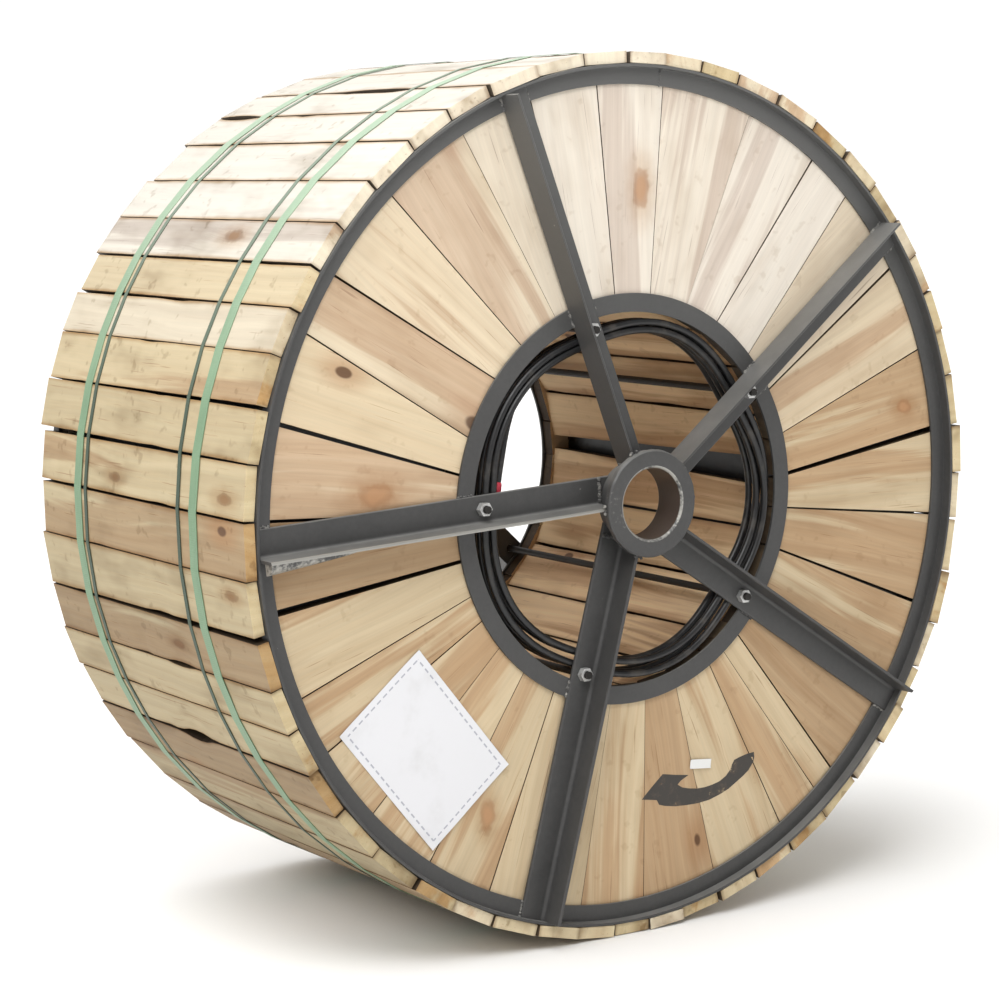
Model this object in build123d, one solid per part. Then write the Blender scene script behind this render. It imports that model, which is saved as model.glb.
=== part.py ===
from build123d import *
from math import asin, cos, degrees, radians, sin, sqrt, tan
import os

# Wooden cable drum with steel flange frames, lying on its lagging.
# Lengths in millimetres. The drum's axis runs along Y, the front flange faces -Y, the floor is z = 0.

# Overall drum
rim_diameter = 1150.0
drum_width = 590.0
seat_clearance = 0.3

# Steel flange frame
steel_thickness = 4.0
rim_face_width = 26.0
rim_lip_height = 14.0
inner_ring_diameter = 552.0
inner_ring_face_width = 25.0
hub_diameter = 146.0
spindle_bore = 95.0
hub_pipe_wall = 5.0
hub_length = 50.0
hub_chamfer = 2.5
spoke_count = 5
spoke_leg_width = 40.0
spoke_root_radius = 5.0
spoke_toe_radius = 2.5
spoke_first_angle = 39.5

# Tie rods that clamp the two flanges on the barrel
tie_rod_diameter = 10.0
tie_rod_ring_gap = 6.0
tie_rod_hole_clearance = 1.0
nut_across_flats = 17.0
nut_height = 9.0
nut_bore_clearance = 0.2
rod_end_projection = 5.0

# Flange boards. Each seam's row gives how far its outer and inner ends drift from even spacing, in shares
# of the spacing, and how far it has dried open at its outer end, as a share of the widest gap.
flange_board_thickness = 20.0
flange_board_setback = 2.5
flange_first_seam_angle = 7.0
flange_widest_gap = 9.0
seam_taper_share = 0.5
seam_shares = (
    (0.00, -0.32, 1.00), (0.04, -0.33, 0.22), (0.17, -0.18, 0.33), (0.33, -0.12, 0.17),
    (0.00, 0.23, 0.22), (0.12, 0.21, 0.09), (0.46, 0.29, 0.09), (0.40, 0.32, 0.13),
    (0.33, 0.25, 0.17), (0.32, 0.04, 0.09), (0.46, 0.15, 0.13), (0.58, 0.15, 0.33),
    (0.25, 0.75, 0.22), (0.27, 0.58, 0.65), (0.32, 0.42, 0.44), (0.32, 0.52, 1.00),
    (0.33, 0.36, 0.17), (0.04, 0.00, 0.22), (0.00, -0.21, 0.17), (0.00, -0.29, 0.17),
    (-0.08, -0.29, 0.09), (0.25, 0.46, 0.09), (0.17, 0.50, 0.09), (0.25, 0.42, 0.09),
    (0.38, 0.50, 0.13), (0.04, -0.02, 0.11), (-0.62, -0.42, 0.22), (-0.42, -0.33, 0.17),
    (-0.21, -0.10, 0.55), (-0.08, -0.10, 0.40))

# Barrel staves
stave_thickness = 25.0
stave_setback = 3.0
stave_count = 20
stave_gap = 2.5
stave_wide_gap = 16.0
stave_wide_gap_angle = 4.5

# Lagging boards. A run of mixed widths goes three times round, each with the gap that follows it.
lagging_thickness = 16.0
lagging_widest_gap = 3.8
lagging_run_count = 3
lagging_width_shares = (
    0.75, 0.86, 1.02, 1.00, 1.06, 1.00, 1.20, 0.94, 0.82,
    0.93, 0.98, 1.20, 1.20, 0.94, 0.90, 1.35, 0.78, 1.05)
lagging_gap_shares = (
    0.35, 0.10, 0.80, 0.85, 0.50, 0.15, 1.00, 0.30, 0.30,
    0.60, 0.15, 0.20, 0.70, 0.30, 0.45, 0.35, 0.10, 0.70)
lagging_front_stagger = 3.0
lagging_back_stagger = 9.0

# Straps round the lagging
strap_thickness = 0.8
strap_width = 20.0
front_strap_inset = 131.0
back_strap_inset = 124.0
band_thickness = 0.8
band_width = 8.0
front_strap_to_band = 44.0
back_strap_to_band = 25.0

# Cable
winding_depth_share = 0.88
cable_diameter = 10.0
coil_turns_deep = 2
coil_turns_long = 3
end_cap_diameter = 13.0
end_cap_length = 26.0
end_cap_sag = 0.7
end_cap_angle = 173.5

# Paper on the front flange, placed by shares of the boards' width that shows between ring and rim
paper_thickness = 0.6
placard_length = 216.0
placard_width = 154.0
placard_angle = 223.0
placard_tilt = -3.2
placard_room_share = 0.87
sticker_length = 36.0
sticker_width = 13.0
sticker_angle = 288.6
sticker_turn = -5.0
sticker_place_share = 0.44

# Planes and radii that follow from the sizes above
rim_radius = rim_diameter / 2
rim_inner_radius = rim_radius - rim_face_width
half_width = drum_width / 2
frame_face = half_width - rim_lip_height
board_face = frame_face - steel_thickness
board_back = board_face - flange_board_thickness
hub_radius = hub_diameter / 2
hub_pipe_radius = spindle_bore / 2 + hub_pipe_wall
hub_face = frame_face + hub_length
collar_seat = frame_face + spoke_leg_width + seat_clearance
inner_ring_radius = inner_ring_diameter / 2
inner_ring_bore_radius = inner_ring_radius - inner_ring_face_width
tie_rod_circle_radius = inner_ring_bore_radius - tie_rod_ring_gap - tie_rod_diameter / 2
flange_board_count = len(seam_shares)
board_inner_flat = inner_ring_bore_radius + flange_board_setback
stave_flat = board_inner_flat + stave_setback
lagging_board_count = lagging_run_count * len(lagging_width_shares)
lagging_flat = rim_radius + seat_clearance
lagging_top = lagging_flat + lagging_thickness
axis_height = lagging_top
spoke_pitch = 360 / spoke_count
rod_offset = spoke_leg_width / 2
rod_reach = sqrt(tie_rod_circle_radius**2 - rod_offset**2)
coil_outer_radius = tie_rod_circle_radius - tie_rod_diameter / 2 - seat_clearance
coil_inner_radius = coil_outer_radius - coil_turns_deep * cable_diameter
coil_front = frame_face - seat_clearance
coil_back = coil_front - coil_turns_long * cable_diameter


def spot(radius, angle):
    return (radius * cos(radians(angle)), radius * sin(radians(angle)))


def slab(sketch, near, depth):
    # A sketch in the plane across the axis, made solid from y = -near towards -Y.
    return extrude(Plane.XZ.offset(near) * sketch, amount=depth)


def turned(points):
    # A closed profile of (radius, y) points turned about the drum's axis.
    return revolve(Plane.XY * Polygon(*points, align=None), Axis.Y)


def rim():
    # Rolled angle: a flat leg over the board ends and a lip that stands outwards.
    lip_inner = rim_radius - steel_thickness
    return turned([
        (rim_inner_radius, -frame_face), (lip_inner, -frame_face), (lip_inner, -half_width),
        (rim_radius, -half_width), (rim_radius, -board_face), (rim_inner_radius, -board_face)])


def inner_ring():
    # Flat ring over the boards' inner ends, which stop a little short of its bore.
    return slab(Circle(inner_ring_radius) - Circle(inner_ring_bore_radius), board_face, steel_thickness)


def hub():
    # A short pipe round the spindle bore, with a thick collar that sits on the spokes' standing legs.
    bore = Circle(spindle_bore / 2)
    body = slab(Circle(hub_pipe_radius) - bore, frame_face, hub_length)
    body += slab(Circle(hub_radius) - bore, collar_seat, hub_face - collar_seat)
    return chamfer(body.edges().filter_by(GeomType.CIRCLE).group_by(Axis.Y)[0], hub_chamfer)


def spoke_section():
    # Rolled angle seen along the spoke: x is the drum's Y, y runs across the spoke.
    half = steel_thickness / 2
    toe = -frame_face - spoke_leg_width
    leg_face = -frame_face - steel_thickness
    leg_edge = half - spoke_leg_width
    section = Polygon((-frame_face, half), (toe, half), (toe, -half), (leg_face, -half),
                      (leg_face, leg_edge), (-frame_face, leg_edge), align=None)
    section = fillet(section.vertices().sort_by_distance((leg_face, -half))[0], spoke_root_radius)
    section = fillet(section.vertices().sort_by_distance((leg_face, leg_edge))[0], spoke_toe_radius)
    return fillet(section.vertices().sort_by_distance((toe, -half))[0], spoke_toe_radius)


def spoke(number):
    # Angle iron from the hub's pipe to the rim's lip, coped to both: one leg flat, the other standing out.
    angle = spoke_first_angle + number * spoke_pitch
    bar = Rot(0, -angle, 0) * extrude(Plane.YZ * spoke_section(), amount=rim_radius)
    reach = Circle(rim_radius - steel_thickness - seat_clearance) - Circle(hub_pipe_radius + seat_clearance)
    rod_hole = tie_rod_place(number) * Circle(tie_rod_diameter / 2 + tie_rod_hole_clearance)
    return (bar & slab(reach, frame_face, spoke_leg_width)) - slab(rod_hole, frame_face, steel_thickness)


def tie_rod_place(number):
    angle = spoke_first_angle + number * spoke_pitch
    along = spot(rod_reach, angle)
    across = spot(rod_offset, angle - 90)
    return Pos(along[0] + across[0], along[1] + across[1])


def nuts():
    # A hexagon nut on each rod's end, five to a flange.
    section = RegularPolygon(nut_across_flats / 2, 6, major_radius=False)
    section -= Circle(tie_rod_diameter / 2 + nut_bore_clearance)
    seat = frame_face + steel_thickness
    found = [slab(tie_rod_place(number) * section, seat, nut_height) for number in range(spoke_count)]
    return Compound(children=found)


def seam_angles(number):
    # The angles of a seam's outer and inner ends.
    turns, place = divmod(number, flange_board_count)
    pitch = 360 / flange_board_count
    start = flange_first_seam_angle + 360 * turns
    return [start + pitch * (place + drift) for drift in seam_shares[place][:2]]


def board_side(number, toward):
    # A board's side along a seam, half the seam's gap to one side of it, from its inner to its outer end.
    outer_angle, inner_angle = seam_angles(number)
    outer = Vector(*spot(rim_radius, outer_angle))
    inner = Vector(*spot(board_inner_flat, inner_angle))
    gap = seam_shares[number % flange_board_count][2] * flange_widest_gap
    aside = (outer - inner).normalized().rotate(Axis.Z, 90) * (toward * gap / 2)
    return inner + aside * seam_taper_share, outer + aside


def sawn(side, facing, distance):
    # Where a board's side meets a straight saw cut across the way that the board points.
    start, end = side
    out = Vector(*spot(1, facing))
    return start + (end - start) * ((distance - start.dot(out)) / (end - start).dot(out))


def flange_boards():
    # Tapered boards laid like a fan behind the two rings, sawn square at both ends.
    found = []
    for number in range(flange_board_count):
        sides = board_side(number, 1), board_side(number + 1, -1)
        outer_low, inner_low = seam_angles(number)
        outer_high, inner_high = seam_angles(number + 1)
        facing = (outer_low + inner_low + outer_high + inner_high) / 4
        spread = max(outer_high - facing, facing - outer_low)
        ends = board_inner_flat, (rim_radius - seat_clearance) * cos(radians(spread))
        low, high = [[sawn(side, facing, end) for end in ends] for side in sides]
        outline = Polygon(low[0], low[1], high[1], high[0], align=None)
        found.append(slab(outline, board_back, flange_board_thickness))
    return Compound(children=found)


def barrel_staves():
    # Straight planks clamped between the two flanges. One seam has opened wide.
    pitch = 360 / stave_count
    half = stave_flat * tan(radians(pitch / 2)) - stave_gap / 2
    found = []
    for number in range(stave_count):
        low = half if number else half - stave_wide_gap / 2
        high = half if number < stave_count - 1 else half - stave_wide_gap / 2
        plank = Pos(stave_flat, -low) * Rectangle(stave_thickness, low + high, align=(Align.MIN, Align.MIN))
        turn = Rot(0, 0, stave_wide_gap_angle + (number + 1 / 2) * pitch)
        found.append(slab(turn * plank, -board_back, 2 * board_back))
    return Compound(children=found)


def lagging_angles():
    # The direction that each board faces, from the one that lies on the floor.
    widths = lagging_width_shares * lagging_run_count
    turns = [(widths[number - 1] + widths[number]) / 2 for number in range(lagging_board_count)]
    angles = [270]
    for turn in turns[1:]:
        angles.append(angles[-1] + 360 * turn / sum(turns))
    return angles


def facet_corner(first, second):
    # Where two facets meet in the plane across the axis, each given by its normal's angle and distance.
    (a, near), (b, far) = first, second
    spread = sin(radians(b - a))
    x = (near * sin(radians(b)) - far * sin(radians(a))) / spread
    z = (far * cos(radians(a)) - near * cos(radians(b))) / spread
    return (x, z)


def facet_loop(distances):
    facets = list(zip(lagging_angles(), distances))
    return Polygon(*[facet_corner(facets[i - 1], facets[i]) for i in range(len(facets))], align=None)


def hoop(width, thickness, middle):
    # A flat strap pulled tight over the boards, and pressed flush into the board on the floor.
    inside = [lagging_top - thickness] + [lagging_top] * (lagging_board_count - 1)
    outside = [lagging_top] + [lagging_top + thickness] * (lagging_board_count - 1)
    return slab(facet_loop(outside) - facet_loop(inside), -middle - width / 2, width)


def lagging_boards(hoops):
    # Each flat board reaches to where its face meets the next board's, less half the gap.
    angles = lagging_angles()
    gaps = [share * lagging_widest_gap for share in lagging_gap_shares * lagging_run_count]
    found = []
    for number, angle in enumerate(angles):
        before = (angle - angles[number - 1]) % 360
        after = (angles[(number + 1) % lagging_board_count] - angle) % 360
        low = gaps[number - 1] / 2 - lagging_flat * tan(radians(before / 2))
        high = lagging_flat * tan(radians(after / 2)) - gaps[number] / 2
        section = Rectangle(lagging_thickness, high - low, align=(Align.MIN, Align.MIN))
        front = half_width + lagging_front_stagger * sin(number * number)
        back = half_width + lagging_back_stagger * cos(number * number)
        board = slab(Rot(0, 0, angle) * Pos(lagging_flat, low) * section, -back, front + back)
        if number in (0, 1, lagging_board_count - 1):
            for one in hoops:
                board = board - one
        found.append(board)
    return Compound(children=found)


def cable_winding():
    # The cable on the barrel, hidden by flanges and lagging, as one turned body with its bore.
    bore = (stave_flat + stave_thickness) / cos(radians(180 / stave_count)) + seat_clearance
    outer = bore + (rim_radius - bore) * winding_depth_share
    end = board_back - seat_clearance
    return turned([(bore, -end), (outer, -end), (outer, end), (bore, end)])


def cable_tail_coil():
    # The cable's inner end, coiled inside the barrel's mouth behind the spokes and against the tie rods.
    return turned([(coil_inner_radius, -coil_front), (coil_outer_radius, -coil_front),
                   (coil_outer_radius, -coil_back), (coil_inner_radius, -coil_back)])


def cable_end_cap():
    # Shrunk cap on the cable's end, lying inside the coil along its turns.
    x, z = spot(coil_inner_radius - end_cap_diameter / 2 - end_cap_sag, end_cap_angle)
    across = (coil_front + coil_back) / 2
    return Pos(x, -across, z) * Rot(0, -end_cap_angle, 0) * Cylinder(end_cap_diameter / 2, end_cap_length)


def placard():
    # Lies across the boards with its long side along the rim, clear of the ring and the rim.
    tilt = radians(abs(placard_tilt))
    half_radial = (placard_width * cos(tilt) + placard_length * sin(tilt)) / 2
    half_along = (placard_length * cos(tilt) + placard_width * sin(tilt)) / 2
    room = sqrt(rim_inner_radius**2 - half_along**2) - inner_ring_radius - 2 * half_radial
    radius = inner_ring_radius + half_radial + placard_room_share * room
    outline = Pos(*spot(radius, placard_angle)) * Rot(0, 0, placard_angle + 90 + placard_tilt)
    return slab(outline * Rectangle(placard_length, placard_width), board_face, paper_thickness)


def sticker():
    radius = inner_ring_radius + sticker_place_share * (rim_inner_radius - inner_ring_radius)
    outline = Pos(*spot(radius, sticker_angle)) * Rot(0, 0, sticker_turn)
    return slab(outline * Rectangle(sticker_length, sticker_width), board_face, paper_thickness)


def to_back(shape):
    # The back flange is the same assembly turned to face the other way, with its tie rod holes in line.
    hole = spoke_first_angle - degrees(asin(rod_offset / tie_rod_circle_radius))
    return Rot(0, 180 - 2 * hole, 0) * Rot(0, 0, 180) * shape


def save(name, shape):
    export_step(Pos(0, 0, axis_height) * shape, f"parts/{name}.step")


os.makedirs("parts", exist_ok=True)

flange = {"rim": rim(), "inner_ring": inner_ring(), "hub": hub(), "nuts": nuts()}
flange["flange_boards"] = flange_boards()
for number in range(spoke_count):
    flange[f"spoke_{number + 1}"] = spoke(number)
for name, shape in flange.items():
    save(f"front_{name}", shape)
    save(f"back_{name}", to_back(shape))

rod_end = frame_face + steel_thickness + nut_height + rod_end_projection
for number in range(spoke_count):
    rod = slab(tie_rod_place(number) * Circle(tie_rod_diameter / 2), -rod_end, 2 * rod_end)
    save(f"tie_rod_{number + 1}", rod)

front_strap_place = front_strap_inset - half_width
back_strap_place = half_width - back_strap_inset
hoops = {
    "front_strap": hoop(strap_width, strap_thickness, front_strap_place),
    "front_band": hoop(band_width, band_thickness, front_strap_place + front_strap_to_band),
    "back_band": hoop(band_width, band_thickness, back_strap_place - back_strap_to_band),
    "back_strap": hoop(strap_width, strap_thickness, back_strap_place)}
for name, shape in hoops.items():
    save(name, shape)

save("barrel_staves", barrel_staves())
save("lagging_boards", lagging_boards(hoops.values()))
save("cable_winding", cable_winding())
save("cable_tail_coil", cable_tail_coil())
save("cable_end_cap", cable_end_cap())
save("placard", placard())
save("sticker", sticker())
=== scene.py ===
import bmesh
import bpy
import random
from math import asin, atan2, cos, degrees, hypot, pi, radians, sin
from mathutils import Matrix, Vector, noise
from mathutils.bvhtree import BVHTree


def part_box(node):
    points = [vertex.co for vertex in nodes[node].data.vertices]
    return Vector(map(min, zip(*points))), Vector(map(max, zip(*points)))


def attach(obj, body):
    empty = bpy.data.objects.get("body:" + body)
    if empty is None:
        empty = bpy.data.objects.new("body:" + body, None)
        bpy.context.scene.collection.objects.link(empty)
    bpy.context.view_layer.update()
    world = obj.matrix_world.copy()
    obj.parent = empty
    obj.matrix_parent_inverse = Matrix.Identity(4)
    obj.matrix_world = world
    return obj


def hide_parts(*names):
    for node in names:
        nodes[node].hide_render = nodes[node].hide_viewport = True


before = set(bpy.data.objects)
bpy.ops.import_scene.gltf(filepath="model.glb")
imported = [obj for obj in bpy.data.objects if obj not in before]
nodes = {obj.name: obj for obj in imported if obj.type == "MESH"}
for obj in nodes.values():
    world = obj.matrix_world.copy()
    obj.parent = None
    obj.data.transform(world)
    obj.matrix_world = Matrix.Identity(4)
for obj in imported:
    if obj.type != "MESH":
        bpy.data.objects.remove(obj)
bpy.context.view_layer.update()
rimLow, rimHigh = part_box("front_rim")
axisPoint = Vector((0, 0, (rimLow.z + rimHigh.z) / 2))  # the drum's axis runs along Y through here
faces = {"front": -1, "back": 1}  # which way each flange looks along Y
print("frame loaded:", len(nodes), "nodes, axis height", round(axisPoint.z, 4))

meshCare = {"weld": 2e-6, "flatAngle": 0.3, "sharpAngle": 35}


# Shapes

def cadCopy(name):  # a node's solid as a clean mesh that can be dressed
    mesh = bmesh.new()
    mesh.from_mesh(nodes[name].data)
    bmesh.ops.remove_doubles(mesh, verts=mesh.verts, dist=meshCare["weld"])
    flat = radians(meshCare["flatAngle"])
    bmesh.ops.dissolve_limit(mesh, angle_limit=flat, verts=mesh.verts, edges=mesh.edges)
    return mesh


def finishPiece(name, mesh, finishes, stands=(), smooth=True):
    data = bpy.data.meshes.new(name)
    mesh.to_mesh(data)
    mesh.free()
    if "custom_normal" in data.attributes:  # the solid's own normals no longer fit the dressed mesh
        data.attributes.remove(data.attributes["custom_normal"])
    for finish in finishes:
        data.materials.append(finish)
    piece = bpy.data.objects.new(name, data)
    if smooth:
        data.shade_smooth()
        data.set_sharp_from_angle(angle=radians(meshCare["sharpAngle"]))
        flatter = piece.modifiers.new("flatFaces", "WEIGHTED_NORMAL")  # keeps big faces flat beside small ones
        flatter.keep_sharp = True
    else:
        data.shade_flat()
    return seat(piece, stands)


def seat(piece, stands=()):
    bpy.context.scene.collection.objects.link(piece)
    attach(piece, "root")
    if stands:
        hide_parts(*stands)
    return piece


def roundEdges(mesh, edges, size, segments=2, affect="EDGES"):
    made = bmesh.ops.bevel(mesh, geom=edges, offset=size, offset_type="OFFSET", segments=segments,
                           profile=0.5, affect=affect, clamp_overlap=True, material=-1)
    return made["faces"]


def sharpEdges(mesh, angle):
    least = radians(angle)
    return [edge for edge in mesh.edges if edge.is_manifold and edge.calc_face_angle(0) > least]


def islandsOf(mesh):  # the separate boards in one mesh, as lists of vertices
    seen, found = set(), []
    for start in mesh.verts:
        if start in seen:
            continue
        seen.add(start)
        stack, island = [start], []
        while stack:
            vert = stack.pop()
            island.append(vert)
            for edge in vert.link_edges:
                other = edge.other_vert(vert)
                if other not in seen:
                    seen.add(other)
                    stack.append(other)
        found.append(island)
    return found


def around(radius, angle, y=0.0):  # a point round the axis, angle counter-clockwise seen from the front
    turn = radians(angle)
    return axisPoint + Vector((radius * cos(turn), y, radius * sin(turn)))


ringWear = {"slant": (0.1, 0.99), "bright": 1.0, "dull": 0.4, "rust": -1.0, "torchWaves": 110}


def spunRing(profile, style):  # a closed (radius, y) outline spun round the axis, corners softened
    mesh = bmesh.new()
    outline = [mesh.verts.new(around(radius, 0, y)) for radius, y in profile]
    mesh.faces.new(outline)
    roundEdges(mesh, list(mesh.verts), style["soften"], 2, "VERTICES")
    bmesh.ops.delete(mesh, geom=list(mesh.faces), context="FACES_ONLY")
    bmesh.ops.spin(mesh, geom=list(mesh.verts) + list(mesh.edges), cent=axisPoint, axis=(0, 1, 0),
                   angle=2 * pi, steps=style["steps"], use_merge=True)
    bmesh.ops.remove_doubles(mesh, verts=mesh.verts, dist=meshCare["weld"])
    bmesh.ops.recalc_face_normals(mesh, faces=mesh.faces)
    for vert in mesh.verts:
        spot = Vector((vert.co.x, 0, vert.co.z - axisPoint.z))
        if spot.length > style.get("raggedFrom", 1.0):  # an edge cut by torch
            wave = 0.5 + 0.5 * noise.noise(spot * ringWear["torchWaves"])
            vert.co -= spot.normalized() * style["ragged"] * wave
    wear = mesh.faces.layers.float.new("wear")
    for face in mesh.faces:
        spot = face.calc_center_median() - axisPoint
        radius = hypot(spot.x, spot.z)
        face[wear] = style.get("rubbed", 0.0)
        if ringWear["slant"][0] < abs(face.normal.y) < ringWear["slant"][1]:  # bevels and chamfers are worn most
            face[wear] = ringWear["bright" if radius < style.get("brightTo", 0.0) else "dull"]
        elif radius < style.get("rustTo", 0.0):
            face[wear] = ringWear["rust"]
    return mesh


# Node helpers

def tint(red, green, blue):  # a colour in screen values, made linear
    def linear(value):
        value /= 255
        return value / 12.92 if value <= 0.04045 else ((value + 0.055) / 1.055) ** 2.4
    return (linear(red), linear(green), linear(blue), 1)


def feed(node, inputs):  # a socket is linked, a plain value is set
    for key, value in inputs.items():
        if isinstance(value, bpy.types.NodeSocket):
            node.id_data.links.new(value, node.inputs[key])
        else:
            node.inputs[key].default_value = value
    return node


def addNode(kind, inputs, **settings):  # joins the tree of the sockets that feed it
    tree = next(value.id_data for value in inputs.values() if isinstance(value, bpy.types.NodeSocket))
    made = tree.nodes.new(kind)
    for key, value in settings.items():
        setattr(made, key, value)
    return feed(made, inputs)


def split(vector):
    return addNode("ShaderNodeSeparateXYZ", {0: vector}).outputs


def calc(operation, first, second=0.0, clamp=False):
    return addNode("ShaderNodeMath", {0: first, 1: second}, operation=operation, use_clamp=clamp).outputs[0]


def times(first, second, clamp=False):
    return calc("MULTIPLY", first, second, clamp)


def ramp(value, low, high, start=0.0, end=1.0):
    wanted = {"Value": value, "From Min": low, "From Max": high, "To Min": start, "To Max": end}
    return addNode("ShaderNodeMapRange", wanted, interpolation_type="SMOOTHSTEP").outputs[0]


def mixed(share, first, second, mode="MIX"):  # plain colours are given in screen values
    first, second = (tint(*value) if isinstance(value, tuple) else value for value in (first, second))
    made = addNode("ShaderNodeMix", {0: share, 6: first, 7: second}, data_type="RGBA", blend_type=mode)
    return made.outputs[2]


def stretched(vector, stretch):
    return addNode("ShaderNodeVectorMath", {0: vector, 1: stretch}, operation="MULTIPLY").outputs[0]


def noiseOf(vector, stretch, detail=2.0, roughness=0.5):
    wanted = {"Vector": stretched(vector, stretch), "Scale": 1.0, "Detail": detail, "Roughness": roughness}
    return addNode("ShaderNodeTexNoise", wanted).outputs[0]


def summed(terms, start=0.0):  # start plus each value times its weight
    total = start
    for value, weight in terms:
        total = calc("ADD", times(value, weight), total)
    return total


def startGroup(name, inputs, outputs):
    tree = bpy.data.node_groups.new(name, "ShaderNodeTree")
    for label, kind in inputs:
        tree.interface.new_socket(label, in_out="INPUT", socket_type="NodeSocket" + kind)
    for label, kind in outputs:
        tree.interface.new_socket(label, in_out="OUTPUT", socket_type="NodeSocket" + kind)
    return tree, tree.nodes.new("NodeGroupInput").outputs, tree.nodes.new("NodeGroupOutput")


def placeGroup(group, inputs):
    return addNode("ShaderNodeGroup", inputs, node_tree=group).outputs


def newMaterial(name):
    material = bpy.data.materials.new(name)
    material.use_nodes = True
    tree = material.node_tree
    return material, tree, tree.nodes["Principled BSDF"]


def attributeOf(tree, name, output="Vector"):
    made = tree.nodes.new("ShaderNodeAttribute")
    made.attribute_name = name
    return made.outputs[output]


def objectPoint(tree):
    return tree.nodes.new("ShaderNodeTexCoord").outputs["Object"]


topLightHeights = (0.65, 1.15)  # metres above the floor between which painted light from above sets in, the top drawn lighter


# the top drawn lighter towards a given colour: painted light from above
def paintedTopLight(tree, colour, look, most):
    height = split(objectPoint(tree))[2]
    return mixed(ramp(height, *topLightHeights, 0.0, most), colour, look["topLit"])


def connect(shader, inputs, height=None, bump=(0.3, 0.0005)):
    feed(shader, inputs)
    if height is not None:
        relief = addNode("ShaderNodeBump", {"Height": height, "Strength": bump[0], "Distance": bump[1]})
        feed(shader, {"Normal": relief.outputs[0]})


# Wood: a solid grain that follows each board, stored on the boards as along, across and depth in metres

def makeWoodGroup():
    tree, given, out = startGroup(
        "sawnWood",
        [("Grain", "Vector"), ("Tone", "Vector"), ("Pale", "Color"), ("Tan", "Color"), ("Heart", "Color"),
         ("Knots", "Float"), ("LightWash", "Float")],
        [("Color", "Color"), ("Height", "Float"), ("Rough", "Float")])
    grain = given["Grain"]
    run = split(grain)
    mood = split(given["Tone"])  # brightness (partly painted light), heartwood, pith
    bend = calc("SUBTRACT", noiseOf(grain, (2.1, 9, 9), 1), 0.5)
    knot = addNode("ShaderNodeTexVoronoi", {"Vector": stretched(grain, (5.0, 9, 0)), "Scale": 1.0},
                   voronoi_dimensions="2D")
    pick = addNode("ShaderNodeSeparateColor", {0: knot.outputs["Color"]}).outputs
    hasKnot = calc("GREATER_THAN", pick[0], given["Knots"])
    reach = calc("DIVIDE", summed([(bend, 0.12)], knot.outputs["Distance"]),
                 summed([(pick[1], 0.8)], 0.5))
    core = times(hasKnot, ramp(reach, 0.05, 0.08, 1.0, 0.0))
    halo = times(hasKnot, ramp(reach, 0.06, 0.34, 1.0, 0.0))
    sideways = summed([(bend, 0.075), (mood[2], 0.05)], run[1])
    deep = summed([(bend, 0.03), (halo, 0.016)], calc("SUBTRACT", run[2], 0.03))
    section = addNode("ShaderNodeCombineXYZ", {0: sideways, 1: deep})
    pith = addNode("ShaderNodeVectorMath", {0: section.outputs[0]}, operation="LENGTH").outputs["Value"]
    rings = addNode("ShaderNodeCombineXYZ", {
        0: times(run[0], 0.9), 1: times(pith, 62.0),
        2: times(mood[2], 9.0)}).outputs[0]
    ring = noiseOf(rings, (1, 1, 1), 4, 0.6)  # growth rings that arch along the board
    fibre = noiseOf(grain, (8, 330, 330), 2, 0.6)
    broad = noiseOf(grain, (1.0, 12, 12), 4, 0.55)
    edge = summed([(mood[1], -0.40)], 0.70)  # heartwood meets sapwood along a clear line
    heart = ramp(summed([(broad, 0.80), (ring, 0.20)]), calc("SUBTRACT", edge, 0.025),
                 calc("ADD", edge, 0.04))
    share = summed([(ring, 1.1), (broad, 0.5), (fibre, 0.5)], -0.80)
    colour = mixed(calc("ADD", share, 0.0, True), given["Pale"], given["Tan"])
    heartShare = times(heart, summed([(ring, 0.6)], 0.42), True)
    colour = mixed(heartShare, colour, given["Heart"])
    colour = mixed(times(halo, 0.45), colour, (160, 112, 70))
    flecks = times(ramp(fibre, 0.66, 0.74), 0.5)
    colour = mixed(flecks, colour, (120, 86, 58))
    colour = mixed(times(core, 0.85), colour, (84, 54, 34))
    # brighter boards drawn paler, less coloured and lighter in value: a painted wash of light
    washedOut = times(given["LightWash"], ramp(mood[0], 0.0, 1.6))
    lit = addNode("ShaderNodeHueSaturation", {
        "Color": colour, "Saturation": calc("SUBTRACT", 1.0, washedOut),
        "Value": summed([(mood[0], 0.16), (fibre, 0.26), (ring, -0.20), (broad, 0.2)], 0.87)})
    feed(out, {"Color": lit.outputs[0], "Height": fibre, "Rough": summed([(fibre, 0.25), (core, -0.1)], 0.52)})
    return tree


def makeWeatherGroup():  # yard dirt in clouds and specks and on board ends, and a darkening along board edges
    tree, given, out = startGroup("yardDirt", [("Point", "Vector"), ("Place", "Vector")],
                                  [("Cloud", "Float"), ("Edge", "Float"), ("End", "Float")])
    spot = split(given["Place"])  # along and across, from -1 to 1
    cloud = noiseOf(given["Point"], (5, 13, 13), 3, 0.65)
    specks = ramp(noiseOf(given["Point"], (46, 46, 46), 2, 0.6), 0.62, 0.72)
    feed(out, {"Cloud": summed([(ramp(cloud, 0.45, 0.75), 0.7), (specks, 0.45)])})
    for axis, name, low in ((1, "Edge", 0.80), (0, "End", 0.88)):
        far = summed([(cloud, 0.34 if axis else 0.16)], calc("ABSOLUTE", spot[axis]))
        feed(out, {name: ramp(far, low + 0.17, low + 0.40)})
    return tree


sawnWood = makeWoodGroup()
yardDirt = makeWeatherGroup()


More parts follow.
